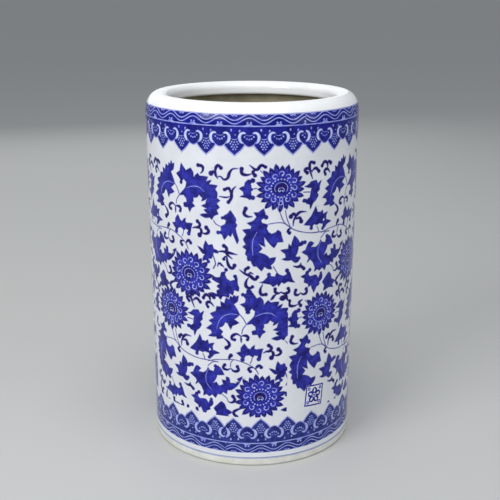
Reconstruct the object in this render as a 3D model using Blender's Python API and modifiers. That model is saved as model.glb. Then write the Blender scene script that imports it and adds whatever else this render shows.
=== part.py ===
"""Tall porcelain brush holder pot: a tapered cylinder with a rolled lip and a low foot ring.

The body is luted from four thrown sections, and its decoration is a set of printed transfers
laid in rows round the wall. Metres, +Z up, origin at the centre of the foot's underside.
Transfers are placed by their arc along the wall, from the front centre line at -Y towards +X.
"""

import math

import bmesh
import bpy

# Driving dimensions of the body.
HEIGHT = 0.310
FOOT_RADIUS = 0.0897
MOUTH_RADIUS = 0.0919
WALL_THICKNESS = 0.0080
LIP_ROUND_WIDTH = 0.0104
LIP_ROUND_HEIGHT = 0.0166
LIP_TOP_SLOPE = 0.115
LIP_NOSE_RADIUS = 0.0056
LIP_BORE_RADIUS = 0.0730

# Heights of the sections.
LIP_SEAM_Z = 0.3024
FOOT_SEAM_Z = 0.0076
FLOOR_THICKNESS = 0.0078
FOOT_RING_WIDTH = 0.0120
FOOT_EDGE_RADIUS = 0.0025
FLOOR_EDGE_RADIUS = 0.0010
JOINT_GAP = 0.0003

# Transfers: each lies in the wall's shallow recess, flush with the wall's nominal surface.
TRANSFER_THICKNESS = 0.0003
RECESS_DEPTH = TRANSFER_THICKNESS + JOINT_GAP
LOWER_BORDER_BASE_Z = 0.0126
LOWER_BORDER_TOP_Z = 0.0460
FIELD_SPLIT_Z = 0.1550
UPPER_BORDER_BASE_Z = 0.2670
SCROLL_SHEET_WIDTH = 0.1610
BORDER_REPEAT = 0.0233
BORDER_SHEET_REPEATS = 7
UPPER_SCROLL_START = -0.1720
LOWER_SCROLL_START = 0.0305
LOWER_SCROLL_TRIM = 0.1435
UPPER_BORDER_START = 0.0435
LOWER_BORDER_START = -0.0231
MARK_ARC = 0.0581
MARK_Z = 0.0588
MARK_HALF_SIDE = 0.0098
MARK_TILT = math.radians(-5.5)

SEGMENTS = 72
GIRTH = 2 * math.pi * MOUTH_RADIUS
CORNER_STEPS = 4

PORCELAIN = (0.86, 0.87, 0.86, 1.0)
LIP_WHITE = (0.90, 0.90, 0.91, 1.0)
FLOOR_GREY = (0.62, 0.62, 0.57, 1.0)
FOOT_CREAM = (0.80, 0.78, 0.72, 1.0)
SCROLL_BLUE = (0.16, 0.19, 0.60, 1.0)
BORDER_BLUE = (0.05, 0.05, 0.38, 1.0)
MARK_BLUE = (0.10, 0.11, 0.42, 1.0)


def clear_scene():
    for old in list(bpy.data.objects):
        bpy.data.objects.remove(old, do_unlink=True)


def new_collection(name):
    collection = bpy.data.collections.new(name)
    bpy.context.scene.collection.children.link(collection)
    return collection


def glaze(name, colour, roughness):
    material = bpy.data.materials.new(name)
    material.use_nodes = True
    shader = material.node_tree.nodes["Principled BSDF"]
    shader.inputs["Base Color"].default_value = colour
    shader.inputs["Roughness"].default_value = roughness
    shader.inputs["Metallic"].default_value = 0.0
    return material


def outer_radius(z):
    """The body's outside at this height: a slight cone, drawn in at the top as a quarter ellipse."""
    cone = FOOT_RADIUS + (MOUTH_RADIUS - FOOT_RADIUS) * z / HEIGHT
    rise = max(0.0, z - (HEIGHT - LIP_ROUND_HEIGHT)) / LIP_ROUND_HEIGHT
    return cone - LIP_ROUND_WIDTH * (1 - math.sqrt(max(0.0, 1 - rise * rise)))


def lip_heights(low, high, steps):
    """Heights from high to low, evenly spread by angle round the lip's quarter ellipse."""
    start = HEIGHT - LIP_ROUND_HEIGHT
    first = math.asin(min(1.0, (high - start) / LIP_ROUND_HEIGHT))
    last = math.asin(max(0.0, (low - start) / LIP_ROUND_HEIGHT))
    angles = [first + (last - first) * i / steps for i in range(steps + 1)]
    return [start + LIP_ROUND_HEIGHT * math.sin(angle) for angle in angles]


def arc(centre_r, centre_z, radius, first_deg, last_deg, steps):
    """Points round a circle in the section, by angle from the outward radial direction."""
    points = []
    for i in range(steps + 1):
        angle = math.radians(first_deg + (last_deg - first_deg) * i / steps)
        points.append((centre_r + radius * math.cos(angle), centre_z + radius * math.sin(angle)))
    return points


def profile_object(name, points, closed, collection, material):
    """A mesh of one line in the XZ plane, ready for a Screw modifier."""
    mesh = bpy.data.meshes.new(name)
    shape = bmesh.new()
    verts = [shape.verts.new((r, 0.0, z)) for r, z in points]
    for first, second in zip(verts, verts[1:]):
        shape.edges.new((first, second))
    if closed:
        shape.edges.new((verts[-1], verts[0]))
    shape.to_mesh(mesh)
    shape.free()
    mesh.materials.append(material)
    obj = bpy.data.objects.new(name, mesh)
    collection.objects.link(obj)
    return obj


def turn(obj, angle, steps):
    screw = obj.modifiers.new("turning", "SCREW")
    screw.axis = "Z"
    screw.angle = angle
    screw.steps = steps
    screw.render_steps = steps
    screw.use_smooth_shade = True
    screw.use_merge_vertices = math.isclose(angle, 2 * math.pi)
    screw.merge_threshold = 0.00001


def turned_section(name, points, closed, collection, material):
    obj = profile_object(name, points, closed, collection, material)
    turn(obj, 2 * math.pi, SEGMENTS)
    return obj


def wall_points():
    """The straight wall: recessed for the transfers, with a plain white band below them."""
    top = LIP_SEAM_Z
    base = FOOT_SEAM_Z + JOINT_GAP / 2
    points = [(outer_radius(z) - RECESS_DEPTH, z)
              for z in lip_heights(HEIGHT - LIP_ROUND_HEIGHT, top, CORNER_STEPS)]
    points.append((outer_radius(LOWER_BORDER_BASE_Z) - RECESS_DEPTH, LOWER_BORDER_BASE_Z))
    points.append((outer_radius(LOWER_BORDER_BASE_Z), LOWER_BORDER_BASE_Z))
    points.append((outer_radius(base), base))
    points.append((inner_radius(base), base))
    points.append((inner_radius(top), top))
    return points


def inner_radius(z):
    return FOOT_RADIUS + (MOUTH_RADIUS - FOOT_RADIUS) * z / HEIGHT - WALL_THICKNESS


def lip_points():
    """The rolled lip: rounded outside, sloping inwards on top, with a round nose over the well."""
    base = LIP_SEAM_Z + JOINT_GAP
    crest_r = MOUTH_RADIUS - LIP_ROUND_WIDTH
    nose_r = LIP_BORE_RADIUS + LIP_NOSE_RADIUS
    nose_z = HEIGHT - LIP_TOP_SLOPE * (crest_r - nose_r) - LIP_NOSE_RADIUS
    points = [(outer_radius(z), z) for z in lip_heights(base, HEIGHT, 2 * CORNER_STEPS)]
    points.append((inner_radius(base), base))
    points += arc(nose_r, nose_z, LIP_NOSE_RADIUS, -84, -264, 2 * CORNER_STEPS)
    return points


def floor_points():
    base = FOOT_SEAM_Z + JOINT_GAP / 2
    top = base + FLOOR_THICKNESS
    radius = inner_radius(base) - JOINT_GAP
    edge = FLOOR_EDGE_RADIUS
    points = [(0.0, top)]
    points += arc(radius - edge, top - edge, edge, 90, 0, CORNER_STEPS // 2)
    points += [(radius, base), (0.0, base)]
    return points


def foot_points():
    top = FOOT_SEAM_Z - JOINT_GAP / 2
    edge = FOOT_EDGE_RADIUS
    points = [(outer_radius(top), top)]
    points += arc(outer_radius(edge) - edge, edge, edge, 0, -90, CORNER_STEPS)
    inside = FOOT_RADIUS - FOOT_RING_WIDTH
    points += arc(inside + edge, edge, edge, -90, -180, CORNER_STEPS)
    points.append((inside, top))
    return points


def transfer(name, z_low, z_high, start, end, collection, material):
    """One printed sheet, z_low to z_high and start to end by arc, with half a gap on every side."""
    half = JOINT_GAP / 2
    low, high = z_low + half, z_high - half
    rounding = HEIGHT - LIP_ROUND_HEIGHT
    heights = lip_heights(rounding, high, CORNER_STEPS) if high > rounding else [high]
    points = [(outer_radius(z), z) for z in heights + [low]]
    obj = profile_object(name, points, False, collection, material)
    angle = (end - start - JOINT_GAP) / MOUTH_RADIUS
    turn(obj, angle, max(2, round(SEGMENTS * angle / (2 * math.pi))))
    obj.rotation_euler.z = (start + half) / MOUTH_RADIUS - math.pi / 2
    skin = obj.modifiers.new("sheet thickness", "SOLIDIFY")
    skin.thickness = TRANSFER_THICKNESS
    skin.offset = -1.0
    return obj


def punch(name, half_side, collection):
    """A square cutter, a little tilted, that faces out through the mark's centre."""
    angle = MARK_ARC / MOUTH_RADIUS - math.pi / 2
    bpy.ops.mesh.primitive_cube_add(size=2 * half_side)
    obj = bpy.context.object
    obj.name = name
    obj.location = (math.cos(angle) * MOUTH_RADIUS, math.sin(angle) * MOUTH_RADIUS, MARK_Z)
    obj.rotation_euler = (MARK_TILT, 0.0, angle)
    obj.hide_render = True
    obj.display_type = "WIRE"
    for owner in list(obj.users_collection):
        owner.objects.unlink(obj)
    collection.objects.link(obj)
    return obj


def cut(obj, cutter, operation):
    boolean = obj.modifiers.new(cutter.name, "BOOLEAN")
    boolean.operation = operation
    boolean.solver = "EXACT"
    boolean.object = cutter


def row_starts(first, width, count):
    """Arc positions of a row's sheets, each full width but the last, which closes the girth."""
    starts = [first + width * i for i in range(count)]
    return starts + [first + GIRTH]


def add_row(name, z_low, z_high, seams, collection, material):
    row = []
    for number, (start, end) in enumerate(zip(seams, seams[1:]), 1):
        sheet = transfer(f"{name}_{number}", z_low, z_high, start, end, collection, material)
        row.append(sheet)
    return row


def build():
    clear_scene()
    pot = new_collection("brush_holder_pot")
    cutters = new_collection("cutters")

    turned_section("pot_wall", wall_points(), True, pot, glaze("wall glaze", PORCELAIN, 0.12))
    turned_section("rolled_lip", lip_points(), True, pot, glaze("lip glaze", LIP_WHITE, 0.10))
    turned_section("floor_slab", floor_points(), False, pot, glaze("floor glaze", FLOOR_GREY, 0.25))
    turned_section("foot_ring", foot_points(), True, pot, glaze("foot glaze", FOOT_CREAM, 0.30))

    border = glaze("border transfer", BORDER_BLUE, 0.12)
    scroll = glaze("scroll transfer", SCROLL_BLUE, 0.12)
    border_width = BORDER_REPEAT * BORDER_SHEET_REPEATS
    lower_scroll_seams = row_starts(LOWER_SCROLL_START, SCROLL_SHEET_WIDTH, 3)
    lower_scroll_seams.insert(3, lower_scroll_seams[-1] - LOWER_SCROLL_TRIM)
    add_row("upper_border_transfer", UPPER_BORDER_BASE_Z, LIP_SEAM_Z,
            row_starts(UPPER_BORDER_START, border_width, 4), pot, border)
    add_row("upper_scroll_transfer", FIELD_SPLIT_Z, UPPER_BORDER_BASE_Z,
            row_starts(UPPER_SCROLL_START, SCROLL_SHEET_WIDTH, 4), pot, scroll)
    lower = add_row("lower_scroll_transfer", LOWER_BORDER_TOP_Z, FIELD_SPLIT_Z,
                    lower_scroll_seams, pot, scroll)
    add_row("lower_border_transfer", LOWER_BORDER_BASE_Z, LOWER_BORDER_TOP_Z,
            row_starts(LOWER_BORDER_START, border_width, 4), pot, border)

    reach = 1.5 * MARK_HALF_SIDE
    mark = transfer("blossom_mark_transfer", MARK_Z - reach, MARK_Z + reach,
                    MARK_ARC - reach, MARK_ARC + reach, pot,
                    glaze("mark transfer", MARK_BLUE, 0.12))
    cut(mark, punch("mark_punch", MARK_HALF_SIDE, cutters), "INTERSECT")
    cut(lower[0], punch("mark_window", MARK_HALF_SIDE + JOINT_GAP, cutters), "DIFFERENCE")


build()
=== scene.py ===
"""Looks for the tall blue-and-white brush holder pot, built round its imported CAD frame.

The print is real geometry: outlines drawn on the unrolled wall divide the faces of thin sheets. There x
is the arc in millimetres from the front centre line towards +X, at the mouth's radius, and z the height.
"""
import math

import bpy
import numpy as np
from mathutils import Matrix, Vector, geometry


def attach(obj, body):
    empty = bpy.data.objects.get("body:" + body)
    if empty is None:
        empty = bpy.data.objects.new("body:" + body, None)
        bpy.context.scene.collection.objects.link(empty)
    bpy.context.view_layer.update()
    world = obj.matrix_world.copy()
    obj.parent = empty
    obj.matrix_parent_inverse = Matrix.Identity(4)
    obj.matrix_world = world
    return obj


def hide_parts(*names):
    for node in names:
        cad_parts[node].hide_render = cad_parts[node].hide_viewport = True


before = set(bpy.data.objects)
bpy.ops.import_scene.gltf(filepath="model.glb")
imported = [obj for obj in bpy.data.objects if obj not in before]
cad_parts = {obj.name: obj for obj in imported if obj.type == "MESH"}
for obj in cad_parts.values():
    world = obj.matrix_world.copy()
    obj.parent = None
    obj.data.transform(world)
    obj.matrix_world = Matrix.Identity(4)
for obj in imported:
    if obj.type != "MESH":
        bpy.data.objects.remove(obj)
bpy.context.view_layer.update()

# The body's driving dimensions, in millimetres, as the CAD part has them.
HEIGHT = 310.0
FOOT_RADIUS = 89.7
MOUTH_RADIUS = 91.9
WALL_THICKNESS = 8.0
LIP_ROUND_WIDTH = 10.4
LIP_ROUND_HEIGHT = 16.6
LIP_TOP_SLOPE = 0.115
LIP_NOSE_RADIUS = 5.6
LIP_UNDER_RADIUS = 2.2
LIP_BORE_RADIUS = 73.0
LIP_SEAM_Z = 302.4
FOOT_SEAM_Z = 7.6
FLOOR_THICKNESS = 7.8
FLOOR_EDGE_RADIUS = 1.0
FOOT_RING_WIDTH = 12.0
FOOT_EDGE_RADIUS = 2.5
LOWER_BORDER_BASE_Z = 12.6
LOWER_BORDER_TOP_Z = 46.0
FIELD_SPLIT_Z = 155.0
UPPER_BORDER_BASE_Z = 267.0
SHEET_THICKNESS = 0.3
GIRTH = 2 * math.pi * MOUTH_RADIUS
ROUNDING_Z = HEIGHT - LIP_ROUND_HEIGHT

# The sheets of the print: where each starts round the wall, and its width.
SCROLL_WIDTH = 161.0
BORDER_PITCH = 23.3
BORDER_REPEATS = 7
SHEETS_PER_ROW = 4
UPPER_SCROLL_START = -172.0
LOWER_SCROLL_START = 30.5
LOWER_SCROLL_TRIM = 143.5
UPPER_BORDER_START = 43.5
LOWER_BORDER_START = -23.1
MARK_X, MARK_Z, MARK_HALF_SIDE = 58.1, 58.8, 9.8
MARK_TILT = math.radians(-5.5)
UPPER_SEAM_X = UPPER_SCROLL_START + GIRTH

MM = 0.001
SEAM_GAP = 0.02
GROOVE_DEPTH = 0.8
COLUMN_STEP = math.radians(2.5) * MOUTH_RADIUS
TURN_SEGMENTS = 192
SHARP_ANGLE = math.radians(32)

# The print's inks, in the order of its material slots.
INKS = ("ground", "halo", "stem", "edge", "leaf", "curl", "petal", "pale", "band", "band_pale", "horn")
INK = {name: number for number, name in enumerate(INKS)}


# ---- outlines on the unrolled wall ----

def plain(points):
    return np.array([p[:2] for p in points], float)


def area(line):
    x, z = line[:, 0], line[:, 1]
    return 0.5 * float(np.sum(x * np.roll(z, -1) - np.roll(x, -1) * z))


def anticlockwise(line):
    return line if area(line) > 0 else line[::-1].copy()


def unit(vectors, least=1e-9):
    return vectors / np.maximum(np.linalg.norm(vectors, axis=1), least)[:, None]


def hermite(start, end, leave, arrive, steps):
    t = np.linspace(0, 1, steps, endpoint=False)[:, None]
    return ((2 * t**3 - 3 * t**2 + 1) * start + (t**3 - 2 * t**2 + t) * leave
            + (3 * t**2 - 2 * t**3) * end + (t**3 - t**2) * arrive)


def veer(step, angle):
    """A step turned anticlockwise by an angle."""
    cos, sin = math.cos(angle), math.sin(angle)
    return np.array([step[0] * cos - step[1] * sin, step[0] * sin + step[1] * cos])


FEWEST_STEPS, MOST_STEPS = 2, 7


def smooth(points, closed=False, tip_angle=55.0, bulge=0.0, spacing=1.1):
    """A curve through the points. A closed outline stays sharp at its tips and, if its lobes bulge
    outwards by an angle, at the notches between them too."""
    line = plain(points)
    if closed:
        line = anticlockwise(line)
    count = len(line)
    ahead, behind = np.roll(line, -1, 0), np.roll(line, 1, 0)
    if not closed:
        ahead[-1], behind[0] = line[-1], line[0]
    tangent = unit(ahead - behind)
    before, after = line - behind, ahead - line
    turn = np.degrees(np.arctan2(before[:, 0] * after[:, 1] - before[:, 1] * after[:, 0],
                                 (before * after).sum(1)))
    if bulge:
        turn = np.abs(turn)
    sharp = (turn > tip_angle) if closed else np.zeros(count, bool)
    pieces = []
    for i in range(count if closed else count - 1):
        j = (i + 1) % count
        chord = line[j] - line[i]
        length = float(np.linalg.norm(chord))
        leave = veer(chord, -bulge) if sharp[i] else tangent[i] * length
        arrive = veer(chord, bulge) if sharp[j] else tangent[j] * length
        steps = int(min(MOST_STEPS, max(FEWEST_STEPS, round(length / spacing))))
        pieces.append(hermite(line[i], line[j], leave, arrive, steps))
    if not closed:
        pieces.append(line[-1:])
    return np.concatenate(pieces)


def oval(x, z, half_width, half_height, steps=40):
    angle = np.linspace(0, 2 * math.pi, steps, endpoint=False)
    return np.stack([x + half_width * np.cos(angle), z + half_height * np.sin(angle)], 1)


def circle(x, z, radius, steps=0):
    return oval(x, z, radius, radius, steps or int(min(28, max(10, round(7 * radius)))))


def box(half_width, z_low, z_high):
    return np.array([(-half_width, z_low), (half_width, z_low), (half_width, z_high), (-half_width, z_high)])


def grown(line, distance):
    """The outline moved outwards by the distance, or inwards where it is negative."""
    ahead, behind = np.roll(line, -1, 0) - line, line - np.roll(line, 1, 0)
    sides = []
    for step in (unit(ahead), unit(behind)):
        sides.append(np.stack([step[:, 1], -step[:, 0]], 1))
    normal = sides[0] + sides[1]
    scale = np.maximum((normal * sides[0]).sum(1), 0.55)
    return line + distance * normal / scale[:, None]


def ribbon(line, start_width, middle_width, end_width):
    """A stroke along the line, its width eased from start to middle to end."""
    step = unit(np.gradient(line, axis=0))
    side = np.stack([-step[:, 1], step[:, 0]], 1)
    t = np.linspace(0, 1, len(line))
    half = 0.5 * np.interp(t, (0, 0.55, 1), (start_width, middle_width, end_width))[:, None]
    return anticlockwise(np.concatenate([line - side * half, (line + side * half)[::-1]]))


# ---- motifs: each returns marks, which are (rank, ink, outline), and higher ranks lie on top ----

HALO_WIDTH = 0.5
EDGE_WIDTH = 0.6
RANK = {name: 10 * number for number, name in enumerate(INKS)}

# Ranks within a leaf, and within a flower from its outer petals up to its eye and stalks.
VEIN, SPINE, GAP = 41, 42, 100
OUTER_PETAL, SCROLL_EDGE, SCROLL_PETAL, BEAD_RIM, DISC, EYE, EYE_HOOK, STALK = 45, 50, 55, 70, 71, 74, 80, 81


def mark(ink, line, rank=None):
    return (RANK[ink] if rank is None else rank, ink, line)


def stem(*points, width=0.62):
    line = ribbon(smooth(points, spacing=2.0), width * 0.8, width, width)
    return [mark("halo", grown(line, 0.35)), mark("stem", line)]


def curl(*points, ball=1.6, width=2.2, tail=0.5):
    """A tapering stroke to a ball: the last point is the ball's centre. No ball if it is 0."""
    line = smooth(points, spacing=1.0)
    width, ball = 1.15 * width, 0.92 * ball
    stroke = ribbon(line, tail, width, min(width, 1.5 * ball) if ball else 0.3)
    marks = [mark("halo", grown(stroke, HALO_WIDTH)), mark("curl", stroke)]
    if ball:
        x, z = plain(points)[-1]
        marks += [mark("halo", circle(x, z, ball + HALO_WIDTH)), mark("curl", circle(x, z, ball))]
    return marks


def veins(points):
    """A short dark vein down each pointed lobe of a leaf's outline."""
    line = anticlockwise(plain(points))
    ahead, behind = np.roll(line, -1, 0), np.roll(line, 1, 0)
    before, after = line - behind, ahead - line
    convex = before[:, 0] * after[:, 1] - before[:, 1] * after[:, 0] > 0
    inwards = 0.5 * (ahead + behind) - line
    marks = []
    for tip, way in zip(line[convex], inwards[convex]):
        length = float(np.linalg.norm(way))
        if length > 1.2:
            ends = [tip + 0.25 * way, tip + way, tip + way * min(2.2, 1 + 4.0 / length)]
            marks.append(mark("edge", ribbon(smooth(ends, spacing=2.5), 0.3, 0.75, 0.2), VEIN))
    return marks


def leaf(*points, spines=(), gaps=()):
    """A lobed leaf. A point with a third value is the centre of a ball with that radius."""
    line = smooth(points, closed=True, tip_angle=30, bulge=0.13, spacing=1.0)
    marks = [mark("halo", grown(line, HALO_WIDTH)), mark("edge", line),
             mark("leaf", grown(line, -EDGE_WIDTH))] + veins(points)
    for point in points:
        if len(point) == 3:
            x, z, radius = point
            marks += [mark("halo", circle(x, z, radius + HALO_WIDTH)),
                      mark("edge", circle(x, z, radius)),
                      mark("leaf", circle(x, z, max(0.4, radius - EDGE_WIDTH)))]
    for spine in spines:
        spine = smooth(spine, spacing=2.0)
        marks += [mark("petal", ribbon(spine, 0.8, 3.4, 0.8), SPINE),
                  mark("pale", ribbon(spine, 0.2, 0.45, 0.2))]
    for gap in gaps:
        marks.append(mark("ground", smooth(gap, closed=True), GAP))
    return marks


def from_centre(centre, scale, angle, along, across):
    """Points given along and across a ray that leaves a flower's centre at an angle."""
    x = along * math.cos(angle) - across * math.sin(angle)
    z = along * math.sin(angle) + across * math.cos(angle)
    return np.stack([centre[0] + x * scale[0], centre[1] + z * scale[1]], 1)


def petal(centre, scale, angle, inner, outer, half, blunt=0.55, bend=0.0):
    """A pointed petal about a flower's centre: inner and outer are radii, half its half-width."""
    t = np.array([0.0, 0.25, blunt, 0.82, 1.0])
    across = np.array([0.45, 0.85, 1.0, 0.72, 0.0]) * half
    along = inner + (outer - inner) * t
    sway = bend * t * t
    line = from_centre(centre, scale, angle, np.concatenate([along, along[::-1][1:]]),
                       np.concatenate([sway + across, (sway - across)[::-1][1:]]))
    return smooth(line, closed=True, spacing=1.6)


def hooked(centre, scale, angle, radius, size, turn):
    """A small pale C-scroll inside a petal, closing on a ball."""
    sweep = np.radians(np.linspace(-110, 165, 10)) * turn
    shrink = size * np.linspace(1.0, 0.6, 10)
    line = from_centre(centre, scale, angle, radius + shrink * np.cos(sweep), shrink * np.sin(sweep))
    return [mark("pale", ribbon(line, 0.25, 0.7, 0.8)), mark("pale", circle(*line[-1], 0.75, 10))]


PETALS, SCROLLS, BEADS = 22, 12, 20


def flower(x, z, width, height, turned=0.0, stalks=False):
    """A lotus scroll flower: two rings of petals, C-scrolls, a beaded ring and a dark eye."""
    centre, scale = (x, z), (width / 20.0, height / 20.0)
    marks = []
    for i in range(PETALS):
        angle = turned + 2 * math.pi * i / PETALS
        reach = 20.5 + 0.8 * math.cos(math.pi * i) + 0.5 * math.cos(3 * angle)
        bend = 1.7 * math.cos(angle)
        shape = petal(centre, scale, angle, 8.0, reach, 2.35, blunt=0.6, bend=bend)
        inner = petal(centre, scale, angle + 0.02, 8.5, reach - 2.6, 1.5, bend=0.7 * bend)
        marks += [mark("halo", grown(shape, HALO_WIDTH)), mark("edge", shape),
                  mark("petal", inner, OUTER_PETAL)]
    for i in range(SCROLLS):
        angle = turned + 0.13 + 2 * math.pi * (i + 0.5) / SCROLLS
        reach = 16.0 + 0.6 * math.cos(math.pi * i)
        shape = petal(centre, scale, angle, 6.0, reach, 3.5, blunt=0.66)
        marks += [mark("edge", grown(shape, 0.35), SCROLL_EDGE), mark("petal", shape, SCROLL_PETAL)]
        marks += hooked(centre, scale, angle, reach - 4.1, 2.4, 1 if math.cos(angle) < 0 else -1)
    marks.append(mark("leaf", oval(x, z, 8.3, 7.2), DISC))
    for i in range(BEADS):
        bead = 2 * math.pi * i / BEADS
        place = (x + 8.2 * math.cos(bead), z + 7.1 * math.sin(bead))
        marks += [mark("pale", circle(*place, 0.85, 9), BEAD_RIM), mark("pale", circle(*place, 0.5, 8), EYE)]
    arch = np.radians(np.linspace(-35, 215, 15))
    line = np.stack([x + 5.4 * np.cos(arch), z + 4.7 * np.sin(arch)], 1)
    marks += [mark("band_pale", ribbon(line, 0.5, 0.4, 0.5), EYE), mark("curl", oval(x, z, 4.4, 3.8), EYE)]
    for side in (-1, 1):
        hook = [(x, z + 0.2), (x + side * 1.5, z + 0.2), (x + side * 2.5, z - 1.5),
                (x + side * 1.5, z - 2.9), (x + side * 0.7, z - 1.9)]
        marks += [mark("pale", ribbon(smooth(hook), 0.3, 0.6, 0.6), EYE_HOOK),
                  mark("pale", circle(x + side * 0.9, z - 2.0, 0.7, 8), EYE_HOOK)]
        if stalks:
            stalk = [(x + side * 1.0, z - 6.9), (x + side * 1.5, z - 11.5), (x + side * 2.5, z - 17.6)]
            marks.append(mark("pale", ribbon(smooth(stalk), 0.5, 0.4, 0.3), STALK))
    return marks


def moved(marks, dx, dz, turn=0.0, about=(0.0, 0.0)):
    """The marks turned anticlockwise about a point, then shifted."""
    cos, sin = math.cos(turn), math.sin(turn)
    centre = np.array(about)
    spin = np.array([[cos, sin], [-sin, cos]])
    return [(rank, ink, (line - centre) @ spin + centre + (dx, dz)) for rank, ink, line in marks]


# ---- the scroll print: one repeat, drawn in two halves as they lie on the upper row ----

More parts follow.
